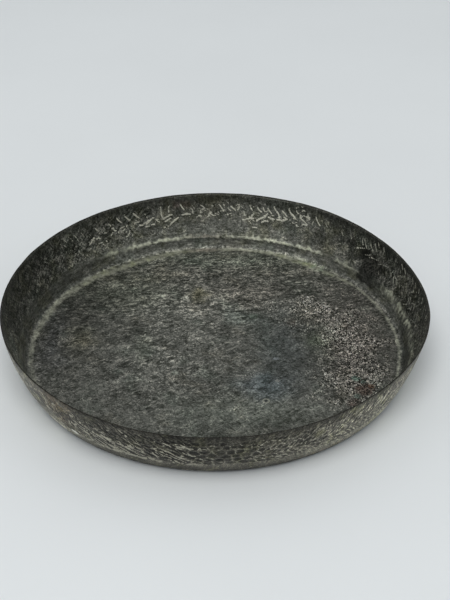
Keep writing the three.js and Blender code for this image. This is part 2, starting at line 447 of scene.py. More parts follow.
def inner_strays(marks, rng):
    # a crowd of crossing blows at the left of the far wall, pale then dark
    for _ in range(10):
        d = rng.uniform(124, 138)
        z = 34.5 - (d - 120) * .32 + rng.normal(0, 4.0)
        angle = rng.choice([-58, 32, 24, 40]) + rng.normal(0, 10)
        marks.slant(d, z, angle, rng.uniform(3.4, 8.0), width=rng.uniform(.42, .52), rise=.14,
                    pale=rng.uniform(.6, 1.0) * (1 - .4 * smooth(128, 137, d)),
                    bend=rng.normal(0, .4))
    for _ in range(90):
        d = rng.uniform(111, 140)
        z = 34 - (d - 120) * .3 + rng.normal(0, 5.5)
        angle = rng.choice([-58, 32, 24, 40]) + rng.normal(0, 12)
        marks.slant(d, z, angle, rng.uniform(2.2, 5.0), width=rng.uniform(.6, .9), rise=-.08,
                    dark=rng.uniform(.4, 1.))
    # a thinner crowd at the middle and right of the far wall
    for _ in range(110):
        d, z = rng.uniform(60, 100), rng.normal(35, 5)
        angle = rng.choice([-60, 15, 25]) + rng.normal(0, 14)
        marks.slant(d, z, angle, rng.uniform(1.8, 4.4), width=rng.uniform(.5, .65), rise=.12,
                    pale=rng.uniform(.3, .8), bend=rng.normal(0, .3))
    # small stray blows between and below the rows, pale then dark
    for _ in range(1500):
        d, z = rng.uniform(0, 360), rng.uniform(18, 46)
        here = around(d, STRAY_SHARE)
        if rng.random() > here + .1:
            continue
        s = rng.uniform(.25, .75) * here ** .5
        angle = rng.choice([-1, 1]) * rng.uniform(20, 70)
        marks.slant(d, z, angle, rng.uniform(1.8, 4.4), width=rng.uniform(.42, .62), rise=.12,
                    pale=s * rng.choice([.5, 1.]), bend=rng.normal(0, .2))
    for _ in range(700):
        d, z = rng.uniform(0, 360), rng.uniform(16, 48)
        angle = rng.choice([-1, 1]) * rng.uniform(20, 75)
        marks.slant(d, z, angle, rng.uniform(2, 5), width=rng.uniform(.6, 1.0), rise=-.06,
                    dark=rng.uniform(.15, .55))


def inner_marks(heights):
    marks, rng = WallMap(heights, sign=-1), np.random.default_rng(1201)
    inner_rows(marks, rng)
    inner_strays(marks, rng)
    return marks


# Bites on the outside, (degrees, value): half length and half width in mm, lean in degrees above
# and below the middle of the wall, and strength
BITE_LENGTH = [(-180, 3.4), (-130, 4.2), (-120, 7.6), (-98, 7.2), (-92, 4.4), (-82, 4.2),
               (-76, 4.6), (-30, 4.4), (0, 5.0), (80, 5.0), (100, 3.6), (120, 4.4), (160, 4.0)]
BITE_WIDTH = [(-180, 2.2), (-130, 1.9), (-120, 1.65), (-98, 1.8), (-92, 3.4), (-82, 3.2),
              (-76, 1.8), (-30, 1.7), (0, 1.8), (80, 1.8), (100, 2.6), (120, 1.7), (160, 1.9)]
LEAN_ABOVE = [(-180, 40), (-150, -20), (-130, -34), (-97, -34), (-90, 20), (-80, 35), (-60, 52),
              (-20, 55), (0, -38), (80, -38), (100, 0), (120, 45), (160, 45)]
LEAN_BELOW = [(-180, -30), (-130, -34), (-97, -30), (-90, 0), (-80, -20), (-72, -24), (-60, -28),
              (-20, -35), (0, -38), (80, -38), (100, 0), (120, -30), (160, -30)]
BITE_POWER = [(-180, .42), (-150, .45), (-134, .55), (-124, .70), (-118, .80), (-98, .86),
              (-92, .6), (-80, .58), (-66, .6), (-40, .5), (-25, .4), (0, .40), (60, .44),
              (90, .48), (125, .44), (150, .42)]


def bite_lean(degrees, z):
    return around(degrees, LEAN_BELOW if z < 27 else LEAN_ABOVE)


def bite_seeds(rng):
    """(angle, height, half length, half width, lean, depth) of each bite, row by row."""
    seeds = []
    for i, row in enumerate((12.6, 17.6, 23.2, 29.0, 34.8, 40.4, 45.6, 50.4)):
        d = -180.0 + 2.1 * (i % 2) + rng.uniform(0, 1.4)
        while d < 180:
            small = .8 if row > 38 else 1.0
            a = around(d, BITE_LENGTH) * small * rng.uniform(.8, 1.15)
            b = around(d, BITE_WIDTH) * small * rng.uniform(.8, 1.15)
            seeds.append((math.radians(d + rng.normal(0, .35)), row + rng.normal(0, 1.0), a, b,
                          math.radians(bite_lean(d, row) + rng.normal(0, 11)),
                          rng.uniform(.25, 1.0)))
            d += math.degrees(3.4 * a * b / 5.6 / MARK_RADIUS) * rng.uniform(.86, 1.14)
    return seeds


def bite_cells(marks, seeds):
    """Distance into the nearest bite, the crest left where two bites meet, and the depth."""
    first = np.full(marks.height.shape, 9.0)
    second = first.copy()
    depth = np.zeros(first.shape)
    for theta, z, a, b, lean, deep in seeds:
        ix, across, up = marks.window(theta, z, 2.3 * a, margin=1)
        along = across * math.cos(lean) + up * math.sin(lean)
        aside = -across * math.sin(lean) + up * math.cos(lean)
        d = np.sqrt((along / a) ** 2 + (aside / b) ** 2)
        nearest = first[ix]
        depth[ix] = np.where(d < nearest, deep, depth[ix])
        second[ix] = np.minimum(second[ix], np.maximum(nearest, d))
        first[ix] = np.minimum(nearest, d)
    crest = np.exp(-((second - first) / .36) ** 2) * smooth(1.7, 1.2, first)
    return first, crest, depth


def outer_marks(heights):
    """Bites on the outside: boat-shaped at the left of the front, square in the middle, slim
    and crossed on the right."""
    rng = np.random.default_rng(88)
    marks = WallMap(heights, sign=1)
    first, crest, depth = bite_cells(marks, bite_seeds(rng))
    theta, z = np.meshgrid(np.arange(N_WALL) * COLUMN_ANGLE, heights)
    degrees = np.degrees(theta)
    r = wall_radius(z)
    x, y = r * np.cos(theta), r * np.sin(theta)
    point = (x, y, z)
    power = around(degrees, BITE_POWER) * smooth(12.5, 16.5, z + 1.2 * MIDDLE((x / 9, y / 9, 3)))
    worn = smooth(-.50, .15, BLOTCH.fbm(point, 7, 2))
    patch = .70 + .30 * smooth(-.25, .25, CLOUD.fbm(point, 17, 2))
    left = around(degrees, [(-180, 0), (-130, 0), (-122, 1), (-100, 1), (-93, .2), (-85, 0), (0, 0)])
    top = (1 - .55 * smooth(40, 49, z)) * (1 - .35 * left * smooth(26, 38, z))
    square = around(degrees, [(-180, 0), (-99, 0), (-93, 1), (-82, 1), (-74, 0)])
    pale = crest * (.12 + .80 * worn) * power * patch * top * (1 - .25 * square)
    marks.pale = np.clip(pale, 0, 1)
    inside = smooth(1.15, .75, first) * (1 - crest)
    marks.dark = np.clip(inside * (.40 + .60 * depth) * power, 0, 1)
    marks.height = power * (.30 * np.clip(1 - first ** 2, 0, 1) * (.5 + .5 * depth) - .10 * crest)
    # long raised seams between the bites, at the left of the front
    for _ in range(36):
        d, z = rng.uniform(-126, -96), rng.uniform(15, 34)
        angle = -30 + rng.normal(0, 6)
        length = rng.uniform(7, 14)
        marks.slant(d, z, angle, length, width=rng.uniform(.5, .62), rise=-.12,
                    pale=rng.uniform(.6, .95), bend=rng.normal(0, .8))
        marks.slant(d, z - 1.9, angle, length, width=rng.uniform(.6, .8), rise=.10,
                    dark=rng.uniform(.6, 1.))
    # bright crests, then small stray bites
    for _ in range(190):
        d, z = rng.uniform(-180, 180), rng.uniform(15, 46)
        angle = bite_lean(d, z) + rng.normal(0, 10)
        marks.slant(d, z, angle, rng.uniform(3, 8), width=rng.uniform(.6, .8), rise=-.10,
                    pale=around(d, BITE_POWER) * rng.uniform(.5, 1.), bend=rng.normal(0, .7))
    for _ in range(300):
        d, z = rng.uniform(-180, 180), rng.uniform(14, 52)
        angle = rng.choice([-1, 1]) * rng.uniform(15, 75)
        length = rng.uniform(1.5, 4.0)
        if rng.random() < .5:
            marks.slant(d, z, angle, length, width=rng.uniform(.5, .7), rise=-.05,
                        pale=rng.uniform(.3, .8))
        else:
            marks.slant(d, z, angle, length, width=rng.uniform(.6, .9), rise=.06,
                        dark=rng.uniform(.3, .8))
    return marks


# ---------------------------------------------------------------- tones (linear colour)
def srgb(r, g, b):
    c = np.array([r, g, b]) / 255.0
    return np.where(c <= 0.04045, c / 12.92, ((c + 0.055) / 1.055) ** 2.4)


def tinted(colour, mask, change):
    """Colour with each channel changed by a share where the mask is 1."""
    return colour * (1 + mask[:, None] * np.array(change))


TIN_BASE = np.array([0.128, 0.129, 0.113])
BODY_BASE = np.array([0.118, 0.114, 0.095])

# Tone of the tin: (degrees, factor) round the wall and (height, factor) up it
WALL_ROUND = [(-60, 1.0), (-20, .75), (0, .70), (20, .72), (36, .78), (46, .85), (54, 1.0),
              (62, 1.2), (90, 1.1), (118, 1.12), (128, 1.0), (140, .78), (150, .66), (160, .55),
              (175, .6), (195, .9), (260, 1.1)]
WALL_UP = [(3, 1.05), (6, .95), (8.5, .98), (12, 1.3), (20, 1.18), (30, 1.08), (38, .98),
           (43, .85), (47, .68), (51, .55), (53.2, .5)]

# Broad soft areas of the floor: centre x, y, half sizes, factor on the tone
FLOOR_AREAS = [
    (0, 156, 75, 14, 1.35), (-118, 75, 30, 50, .68), (-134, 10, 22, 55, .80),
    (-112, 98, 24, 20, 1.30), (62, 112, 34, 20, .92), (108, 102, 28, 22, 1.02),
    (-10, 62, 60, 34, 1.30), (-45, -10, 50, 60, 1.25), (92, 62, 32, 20, 1.28),
    (116, 26, 24, 30, 1.50), (62, 8, 30, 42, .86), (62, -32, 28, 24, .92),
    (20, -88, 55, 18, 1.22), (-105, -22, 28, 22, .88), (150, 20, 12, 60, 1.1),
    (-62, 122, 24, 14, 1.25), (92, 118, 24, 16, 1.25), (86, -96, 30, 20, 1.2),
]
# Tints of the floor: centre x, y, half sizes, factors on red, green, blue
FLOOR_TINTS = [
    (62, -6, 26, 62, (.93, .99, 1.05)), (42, -60, 26, 17, (.88, .98, 1.11)),
    (30, 44, 16, 16, (.92, 1.01, 1.01)), (94, 6, 12, 24, (.97, 1.04, .95)),
    (-17, 83, 9, 7, (1.04, 1.0, .78)), (-124, 12, 16, 20, (1.03, 1.01, .88)),
    (-69, -3, 9, 26, (.98, 1.03, .98)), (-150, 5, 14, 45, (.98, .99, 1.07)),
    (20, -100, 70, 26, (.97, 1.02, .99)), (125, 10, 34, 80, (1.05, .98, .99)),
    (30, 85, 40, 20, (1.03, .99, .98)), (-90, 92, 44, 40, (.97, 1.01, .95)),
    (10, 150, 80, 18, (.96, 1.02, .99)),
]
# Speckled areas and areas of pale lines: strength, then centre x, y, half sizes (and fall-off)
WORM_AREAS = [(1.0, 124, -18, 33, 84, 1.3), (.72, 86, 58, 40, 28), (.80, 108, 34, 34, 32)]
NET_AREAS = [(.55, 0, 85, 95, 46), (.40, 10, 138, 110, 24), (.35, -40, -20, 60, 60),
             (.5, -138, 14, 14, 12)]


def thick_ring(skin, across):
    """Strength and lift of the pale ring of thick tin where the floor meets the corner.

    across is the distance over the section, 0 at the edge of the floor.
    """
    x, y, z = point = (skin.x, skin.y, skin.z)
    centre = skin.around([
        (-60, -.5), (-20, -.3), (0, .2), (20, -.6), (36, .2), (42, -.5), (46, -2.5), (55, -2),
        (62, -.8), (70, .6), (80, 1.), (92, -1.), (105, -1.5), (115, -3), (125, -4.),
        (140, -1.8), (155, -.5), (175, -.6), (200, -.5), (300, -.5)])
    half = 1.15 * skin.around([
        (-60, 1.8), (-20, 1.9), (0, 1.8), (20, 1.7), (36, 1.5), (42, 2.6), (46, 6.0), (55, 6.),
        (62, 4.6), (70, 3.4), (80, 2.6), (92, 3.4), (105, 4.6), (115, 5.), (125, 6.),
        (140, 5.), (155, 3.8), (175, 3.2), (200, 2.8), (300, 1.8)])
    power = skin.around([
        (-60, .55), (-20, .68), (0, .66), (20, .66), (36, .74), (42, .7), (48, .75), (55, .86),
        (62, .92), (70, .78), (80, .86), (92, .84), (105, .90), (115, .95), (125, .95),
        (140, .92), (155, .85), (172, .8), (190, .62), (202, .42), (215, .35), (300, .4)])
    core_power = skin.around([
        (-60, .5), (0, .62), (36, .75), (50, .8), (62, .9), (90, .95), (110, .9), (125, .8),
        (150, .6), (175, .5), (195, .4), (215, .25), (300, .5)])
    ragged = 0.9 * FINE((x / 3.2, y / 3.2, z / 3.2 + 4)) + 0.8 * MIDDLE(point, 9)
    off = across - centre
    edge = np.abs(off + ragged * .35 * np.minimum(half, 3)) / (half * 1.15)
    band = smooth(0, 1, 1.15 - edge) * (.80 + .35 * CLOUD.fbm(point, 11, 3))
    core = np.exp(-((off + ragged * .25) / np.minimum(.55 + .12 * half, 1.3)) ** 2) * core_power
    strength = np.maximum(band * power * (0.80 + 0.4 * BLOTCH.fbm(point, 5, 3)),
                          core * (.95 + .35 * BLOTCH.fbm(point, 8, 2)))
    lift = 0.16 * smooth(1.3, 0, np.abs(off - .3) / 1.6) * smooth(.3, .6, power)
    return strength, lift


def scalloped_ridge(skin):
    """Height, power, strength and lift of the narrow ridge along the foot of the wall."""
    x, y, z = point = (skin.x, skin.y, skin.z)
    wall_z, on_wall = skin.wall_z, skin.on_wall
    power = skin.around([
        (-40, .2), (-15, .4), (0, .72), (10, .92), (22, .76), (28, .25), (33, .05), (38, .3),
        (40, .65), (47, .65), (49.5, .1), (52.5, .15), (54.5, .9), (60, 1.), (75, 1.), (81, .9),
        (84, .75), (96, .72), (105, .80), (110, .92), (119, .95), (121, .75), (122.4, .25),
        (123.6, .3), (124.6, .75), (128, .6), (131, .05), (150, .0), (190, .1), (230, .3),
        (300, .3)])
    scallops = np.abs(np.sin(skin.theta_82 + 1.5 * MIDDLE((x / 12, y / 12, 5))))
    wobble = 0.75 * scallops + 0.9 * FINE((x / 4, y / 4, 7.))
    ridge_z = 10.3 + wobble * (1 - .75 * skin.sector(4, 42)) + skin.around([
        (-20, 3.), (0, 3.), (22, 3.), (36, .5), (90, 0), (200, 0), (300, 1)])
    width = skin.around([
        (-20, 4.0), (22, 4.2), (36, 1.1), (50, .95), (80, .80), (90, .88), (110, 1.2),
        (125, 1.6), (200, 1.1), (300, 1.4)])
    line = np.exp(-((wall_z - ridge_z) / width) ** 2) * on_wall
    above = smooth(ridge_z, ridge_z + 1.0, wall_z) * smooth(ridge_z + 6.5, ridge_z + 1.5, wall_z)
    gaps = 1 - smooth(-.25, .25, FINE.fbm((x / 4, y / 4, z / 12), 1, 3))
    smear = 1 - skin.sector(4, 34) * gaps
    strength = power * line * smear * (0.9 + 0.4 * BLOTCH.fbm(point, 3, 3))
    strength = strength + 0.55 * power * above * smooth(-.25, .45, BLOTCH.fbm(point, 5, 3))
    second = np.exp(-((wall_z - ridge_z - 2.5) / .55) ** 2) * on_wall
    strength = strength + .35 * second * skin.sector(92, 14)
    groove = (smooth(ridge_z - .4, ridge_z - 2., wall_z)
              * smooth(ridge_z - 6, ridge_z - 3.5, wall_z) * on_wall)
    return ridge_z, power, strength, 0.32 * power ** .5 * line - 0.10 * groove


def low_step(skin):
    """The step that runs on where the ridge dies out on the left, 0 to 1."""
    step_z = 9.6 + .5 * MIDDLE((skin.x / 14, skin.y / 14, 9))
    power = skin.around([(124, 0), (130, .9), (140, .9), (152, .5), (165, .2), (200, .2), (300, 0)])
    return power * np.exp(-((skin.wall_z - step_z) / .9) ** 2) * skin.on_wall


def tin_wall_tone(skin, ridge_z, ridge_power):
    wall_z, point = skin.wall_z, (skin.x, skin.y, skin.z)
    foot = skin.around([
        (-40, .0), (-10, -.4), (0, -.2), (10, .45), (22, .42), (34, .2), (50, .25), (60, .3),
        (72, -.05), (88, -.1), (100, .1), (110, .2), (120, .0), (136, .05), (150, .2),
        (160, .45), (175, .3), (200, .2), (300, .2)])
    top = skin.around([
        (0, .1), (40, 0), (120, 0), (132, .35), (140, .75), (150, .75), (165, .25), (178, .45),
        (195, .3), (230, .2)])
    belt = skin.around([
        (-40, 0), (-12, .22), (0, .14), (20, .18), (34, .16), (46, .1), (60, .14), (76, .06),
        (90, 0), (300, 0)])
    tone = skin.around(WALL_ROUND) * np.interp(wall_z, *zip(*WALL_UP))
    tone = tone * (1 + smooth(14, 10, wall_z) * foot) * (1 + smooth(40, 46, wall_z) * top)
    tone = tone * (1 - smooth(12, 16, wall_z) * smooth(34, 28, wall_z) * belt)
    tone = tone * (1 - .16 * smooth(41, 46, wall_z) * skin.sector(6, 16))
    # dark blot right of the far wall
    blot = skin.sector(33.5, 9.5) * smooth(40, 28, wall_z) * smooth(3, 9, wall_z)
    blot = blot + .55 * skin.sector(45, 12) * bump(wall_z, 33, 9)
    blot = smooth(.30, .62, blot + .55 * BLOTCH.fbm(point, 8, 3))
    tone = tone * (1 - .72 * blot * skin.sector(37, 21))
    # painted shadow: the tin darkened in the hollow under the narrow ridge
    ridge_shadow = smooth(ridge_z - .5, ridge_z - 1.6, wall_z) * smooth(ridge_z - 7, ridge_z - 4, wall_z)
    ridge_shadow = ridge_shadow * ridge_power * skin.on_wall
    ridge_shadow = ridge_shadow * smooth(-.35, .15, BLOTCH.fbm((skin.x / 9, skin.y / 9, 3.3), 1, 2))
    return tone * (1 - .45 * ridge_shadow * skin.around([
        (40, 0), (52, .9), (66, 1), (84, .7), (100, .8), (118, .6), (128, 0), (250, 0)]))


def tin_colour(skin, wall_tone, step, cove, warped):
    """Base colour of the tin; cove goes from 0 on the floor to 1 on corner and wall."""
    x, y, on_wall = skin.x, skin.y, skin.on_wall
    point = (x, y, skin.z)
    floor_tone = np.ones(len(x))
    for *area, factor in FLOOR_AREAS:
        floor_tone *= factor ** blob(*warped, *area, 1.3)
    floor_tone *= .93 + .17 * CLOUD.fbm((x / 20, y / 20, 1.3), 1, 3)
    grey = (1 + (wall_tone - 1) * cove) * (1 - .45 * step)
    grey = grey * (1 + (floor_tone - 1) * (1 - cove))
    grey *= 1 + 0.14 * CLOUD.fbm(point, 30, 3) * cove
    colour = TIN_BASE * grey[:, None]
    for *area, factors in FLOOR_TINTS:
        colour = tinted(colour, blob(*warped, *area, 1.3) * (1 - cove), np.array(factors) - 1)
    warm = on_wall * smooth(-.1, .5, CLOUD.fbm(point, 14, 3))
    colour = tinted(colour, warm, [.02, .01, -.12])
    pink = on_wall * bump(skin.wall_z, 43, 7) * smooth(0, .4, BLOTCH.fbm(point, 12, 2))
    return tinted(colour, pink * skin.sector(105, 22), [.10, -.06, -.05])


def thick_tin_colour(skin, ridge_power):
    """Colour of the thick tin in the ring and the ridge."""
    x, y, z = point = (skin.x, skin.y, skin.z)
    yellow = smooth(-.1, .4, CLOUD.fbm((x / 9 + 2, y / 9, z / 9), 1, 2))
    yellow = yellow * np.maximum(skin.sector(120, 34), skin.sector(57, 24))
    yellow = yellow * np.where(skin.on_wall, .45, 1.0)
    colour = tinted(srgb(187, 188, 170), yellow, [-.01, .02, -.16])
    colour *= np.where(skin.on_wall, 1 + .45 * smooth(.7, 1., ridge_power), 1.0)[:, None]
    green = skin.sector(54, 10) * smooth(-.2, .4, BLOTCH.fbm(point, 6, 2)) * ~skin.on_wall
    colour = tinted(colour, green, [-.13, .01, -.04])
    colour = tinted(colour, skin.sector(94, 8), [.03, -.07, -.03])
    return colour * (.88 + .3 * BLOTCH.fbm((x / 7 + 3, y / 7, z / 7), 1, 2))[:, None]


def tin_wear(skin, cove, warped):
    """Strength of the worm-eaten speckle, the net of pale lines, and the slanting streaks."""
    x, y, wall_z = skin.x, skin.y, skin.wall_z
    patchy = .75 + .55 * FINE.fbm((x / 13, y / 13, 6.6), 1, 3)
    worm = 0.0
    for strength, *area in WORM_AREAS:
        worm = np.maximum(worm, strength * patchy * blob(*warped, *area) * (1 - cove))
    net = .40 + sum(strength * blob(x, y, *area) for strength, *area in NET_AREAS)
    net = net * (1 - .6 * worm) * (1 - .45 * blob(x, y, 58, -10, 34, 55))
    net = net * (1 - .5 * np.exp(-((y + 110) / 28) ** 2))
    streaks = skin.around([
        (-40, .6), (0, .7), (40, .7), (50, .4), (60, .3), (98, .25), (108, .4), (114, .5),
        (130, .6), (142, .9), (152, .9), (165, .75), (190, .5), (260, .5)])
    streaks = streaks * smooth(12, 18, wall_z) * (1 - .6 * smooth(44, 50, wall_z))
    return worm, np.where(skin.on_wall, .35, net), streaks


def tin_fields(skin, marks):
    """Lift (mm) and colour fields of the tin's face."""
    x, y, on_wall = skin.x, skin.y, skin.on_wall
    across = np.where(on_wall, skin.bend * ARC_END + (skin.wall_z - Z_END) * 1.10,
                      np.where(skin.on_arc, skin.bend * skin.arc, skin.r - FLOOR_R))
    skin.theta_82 = np.radians(skin.degrees) * 82  # 164 scallops round the dish
    cove = smooth(.8, 3.5, across)
    warped = (x + (9 * BLOTCH((x / 22, y / 22, .5)) + 4 * CLOUD((x / 9, y / 9, .5))),
              y + (9 * CLOUD((x / 22, y / 22, 3.5)) + 4 * BLOTCH((x / 9, y / 9, 4.5))))
    ring, ring_lift = thick_ring(skin, across)
    ridge_z, ridge_power, ridge, ridge_lift = scalloped_ridge(skin)
    step = low_step(skin)

    lift = skin.from_wall(marks.height)
    lift += 0.09 * MIDDLE((x, y, skin.z), 8) * smooth(6, 20, skin.z) * on_wall
    # shallow planishing facets on the floor
    facet = MIDDLE((x / 9.5, y / 9.5, 2.2)) + .6 * BLOTCH((x / 6, y / 6, 5.1))
    lift += 0.045 * facet * (~on_wall) * smooth(FLOOR_R, FLOOR_R - 8, skin.r)
    lift += ring_lift
    lift += ridge_lift
    lift -= .15 * step

    wall_tone = tin_wall_tone(skin, ridge_z, ridge_power)
    worm, net, streaks = tin_wear(skin, cove, warped)
    looks = (skin.from_wall(marks.pale), streaks, np.maximum(ring, ridge))
    zones = (worm, net, skin.from_wall(marks.dark))
    return lift, {
        "patina": tin_colour(skin, wall_tone, step, cove, warped),
        "marks": np.clip(np.stack(looks, 1), 0, 1),
        "zones": np.clip(np.stack(zones, 1), 0, 1),
        "ring_tin": thick_tin_colour(skin, ridge_power),
    }


# Tone of the copper: (height, factor) up the wall and (degrees, factor) round it. The low factors at
# the bottom of the wall are painted shade, a dark reflection of the shadowed table.
BODY_UP = [(0, .5), (2, .6), (4, .85), (9, .95), (12, 1.2), (16, 1.3), (22, .98), (36, .98),
           (42, .95), (46, .85), (50, .62), (52, .45), (53.2, .3)]
# painted light: factors above 1 at the left and right of the front stand in for light from the sides
BODY_ROUND_SIDE_LIGHT = [(-180, 1.0), (-150, 1.75), (-138, 1.45), (-128, 1.14), (-120, 1.04), (-112, 1.0),
              (-102, .98), (-90, 1.0), (-80, 1.15), (-66, 1.4), (-50, 1.7), (-36, 1.8),
              (0, 1.3), (90, 1.1)]


def body_colour(skin, point):
    x, y, z = point
    on_wall = skin.on_wall
    # painted light: the foot is brightened at the left and right of the front, as light from the
    # sides
    foot = smooth(14, 9, z) * on_wall * skin.around([
        (-180, .6), (-150, 1.6), (-139, 1.85), (-130, .7), (-125, .25), (-116, .0), (-78, .0),
        (-64, .35), (-50, .5), (-38, 1.3), (-20, .9), (40, .3), (120, .3)])
    top = skin.around([
        (-180, 0), (-150, .0), (-130, .3), (-118, .45), (-108, .55), (-98, .2), (-90, .1),
        (-80, .1), (-70, -.2), (-50, -.1), (-40, -.25), (-20, 0), (100, 0)])
    belt = skin.around([  # the hammered belt is darker in the middle of the front
        (-135, 0), (-122, 1.1), (-112, 1.2), (-100, 1.4), (-88, 1.0), (-78, .3), (-70, .55),
        (-62, .1), (0, 0), (180, 0)])
    wall = np.interp(z, *zip(*BODY_UP)) * (1 + foot) * skin.around(BODY_ROUND_SIDE_LIGHT)
    # painted shade: the corner arc is darkened to .42 as a dark reflection of the shadowed table
    grey = np.where(on_wall, wall, np.where(skin.on_arc, .42, .9))
    grey = grey * (1 + 0.16 * CLOUD.fbm(point, 26, 3))
    mottle = BLOTCH.fbm(point, 7, 3) * (skin.sector(-143, 26) + .5 * skin.sector(60, 40)) * on_wall
    grey = grey * np.exp(1.5 * mottle) * (1 + smooth(43, 49, z) * top)
    grey = grey * (1 - .26 * smooth(16, 20, z) * belt)
    colour = BODY_BASE * grey[:, None]
    brown = skin.sector(-132, 9) * smooth(14, 24, z) * smooth(-.4, .25, BLOTCH.fbm(point, 8, 3))
    brown = brown + .4 * smooth(.25, .65, CLOUD.fbm(point, 20, 3)) * on_wall + .12
    colour = tinted(colour, np.clip(brown, 0, 1), [.14, -.03, -.16])
    olive = smooth(-.05, .45, CLOUD.fbm((x / 13 + 5, y / 13, z / 13), 1, 3)) * on_wall
    return tinted(colour, olive, [.0, .02, -.15])


def body_fields(skin, marks):
    """Lift (mm) and colour fields of the copper's outer face."""
    x, y, z = point = (skin.x, skin.y, skin.wall_z)
    zone = smooth(10.5, 15.0, z + 1.6 * MIDDLE((x / 12, y / 12, 2)))
    zone = zone * (1 - .35 * smooth(44, 50, z))
    lift = skin.from_wall(marks.height) * zone
    lift += 0.09 * FINE(point, 8) * smooth(8, 18, z) * skin.on_wall
    pale = skin.from_wall(marks.pale) * zone
    dark = skin.from_wall(marks.dark) * zone
    # pale band below the dents
    band = bump(z, 14.5 + 1.6 * MIDDLE((x / 10, y / 10, 4)), 4.0)
    band = .95 * band * smooth(-.35, .35, CLOUD.fbm(point, 6, 3))
    pale = np.maximum(pale, band * skin.around([
        (-128, .5), (-120, .9), (-104, 1.), (-97, .8), (-90, .0), (-80, .25), (-68, .0),
        (-56, .55), (-40, .5), (0, .5), (90, .6), (180, .6)]))
    cream = skin.sector(-122.5, 7) * smooth(14, 22, z) * smooth(50, 42, z)
    pale = np.maximum(pale, .20 * cream * smooth(-.3, .3, FINE.fbm(point, 5, 3)))
    # wear where the underside rests
    rest = smooth(120, 150, skin.r) * smooth(-.2, .3, BLOTCH.fbm((x / 14, y / 14, 1), 1, 3))
    pale = np.where(skin.on_wall, pale, .35 * rest)
    herringbone = .30 + .70 * np.maximum(skin.sector(-47, 37), .8 * skin.sector(135, 40))
    rim = smooth(HEIGHT - 1.0, HEIGHT - .3, z)
    return lift, {
        "patina": body_colour(skin, point),
        "marks": np.stack([np.clip(pale, 0, 1), np.clip(dark, 0, 1),
                           zone * herringbone * skin.on_wall], 1),
        "rim": np.stack([rim, 0 * rim, 0 * rim], 1),
    }


# ---------------------------------------------------------------- the two pieces
def lining_piece():
    """Both faces of the tin, ending at the same height just under the rim."""
    wall = VISIBLE_WALL[:-1]
    top = Skin(SHEET + JOIN_GAP + TIN, TIN_FLOOR, VISIBLE_ARC, wall, VISIBLE_COUNTS)
    lift, fields = tin_fields(top, inner_marks(wall))
    fade = smooth(HEIGHT - 1.5, HEIGHT - 4, top.z)
    under_wall = np.linspace(Z_END, float(wall[-1]), 16)[1:]
    under = Skin(SHEET + JOIN_GAP, HIDDEN_FLOOR, HIDDEN_ARC, under_wall, HIDDEN_COUNTS)
    rings = top.rings(np.maximum(lift, -TIN * .5) * fade) + under.rings()[::-1]
    fields = extend(fields, len(under.r), patina=TIN_BASE, ring_tin=TIN_BASE)
    return build_mesh("tin_lining_skin", rings, fields, flip=False)


# Rounded cut edge: share of the sheet's thickness inwards, mm up
EDGE_PROFILE = [(.06, .16), (.28, .25), (.5, .27), (.72, .25), (.94, .16), (1.0, .0)]


def rim_edge():
    """Rings over the cut edge of the rim, from the outside to the inside."""
    lean = float(wall_lean(WALL_TOP))
    start = np.array([wall_radius(WALL_TOP), WALL_TOP])
    normal = np.array([-math.cos(lean), math.sin(lean)])
    up = np.array([math.sin(lean), math.cos(lean)])
    theta = np.arange(N_WALL) * COLUMN_ANGLE
    c, s = np.cos(theta), np.sin(theta)
    rings = []
    for inwards, rise in EDGE_PROFILE:
        r, z = start + normal * (inwards * SHEET) + up * rise
        nick = 0.05 * FINE((c * 60, s * 60, inwards * 2))
        move = sheet_wobble(r, min(z, HEIGHT), r * c, r * s)
        radius = r + normal[0] * move
        height = z + normal[1] * move + rim_height(theta, HEIGHT) + nick
        rings.append(np.stack(hand_work(radius * c, radius * s, height), 1))
    return rings


def body_piece():
    outer = Skin(0.0, BODY_FLOOR, VISIBLE_ARC, VISIBLE_WALL, VISIBLE_COUNTS)
    lift, fields = body_fields(outer, outer_marks(VISIBLE_WALL))
    fade = smooth(HEIGHT - .6, HEIGHT - 4, outer.wall_z)
    edge = rim_edge()
    inner_wall = np.append(HIDDEN_WALL[:-1], WALL_TOP - .9)
    inner = Skin(SHEET, HIDDEN_FLOOR, HIDDEN_ARC, inner_wall, HIDDEN_COUNTS)
    rings = outer.rings(lift * fade) + edge + inner.rings()[::-1]
    fields = extend(fields, len(edge) * N_WALL, patina=BODY_BASE * .2, rim=(1, 0, 0))
    fields = extend(fields, len(inner.r), patina=BODY_BASE)
    return build_mesh("copper_body_skin", rings, fields, flip=True)


lining = lining_piece()
body = body_piece()


# ---------------------------------------------------------------- shader building
class Value:
    """The output of a shader node; arithmetic on it adds Math nodes."""

    def __init__(self, shader, socket):
        self.shader, self.socket = shader, socket

    def __add__(self, other):
        return self.shader.math("ADD", self, other)

    def __sub__(self, other):
        return self.shader.math("SUBTRACT", self, other)

    def __rsub__(self, other):
        return self.shader.math("SUBTRACT", other, self)

    def __mul__(self, other):
        return self.shader.math("MULTIPLY", self, other)

    def __abs__(self):
        return self.shader.math("ABSOLUTE", self)

    def exp(self):
        return self.shader.math("EXPONENT", self)

    def max(self, other):
        return self.shader.math("MAXIMUM", self, other)

    def min(self, other):
        return self.shader.math("MINIMUM", self, other)

    def ramp(self, start, end, low=0.0, high=1.0):
        """Smooth step from low at start to high at end."""
        inputs = dict(enumerate((self, start, end, low, high)))
        return self.shader.node("ShaderNodeMapRange", inputs, interpolation_type="SMOOTHSTEP")


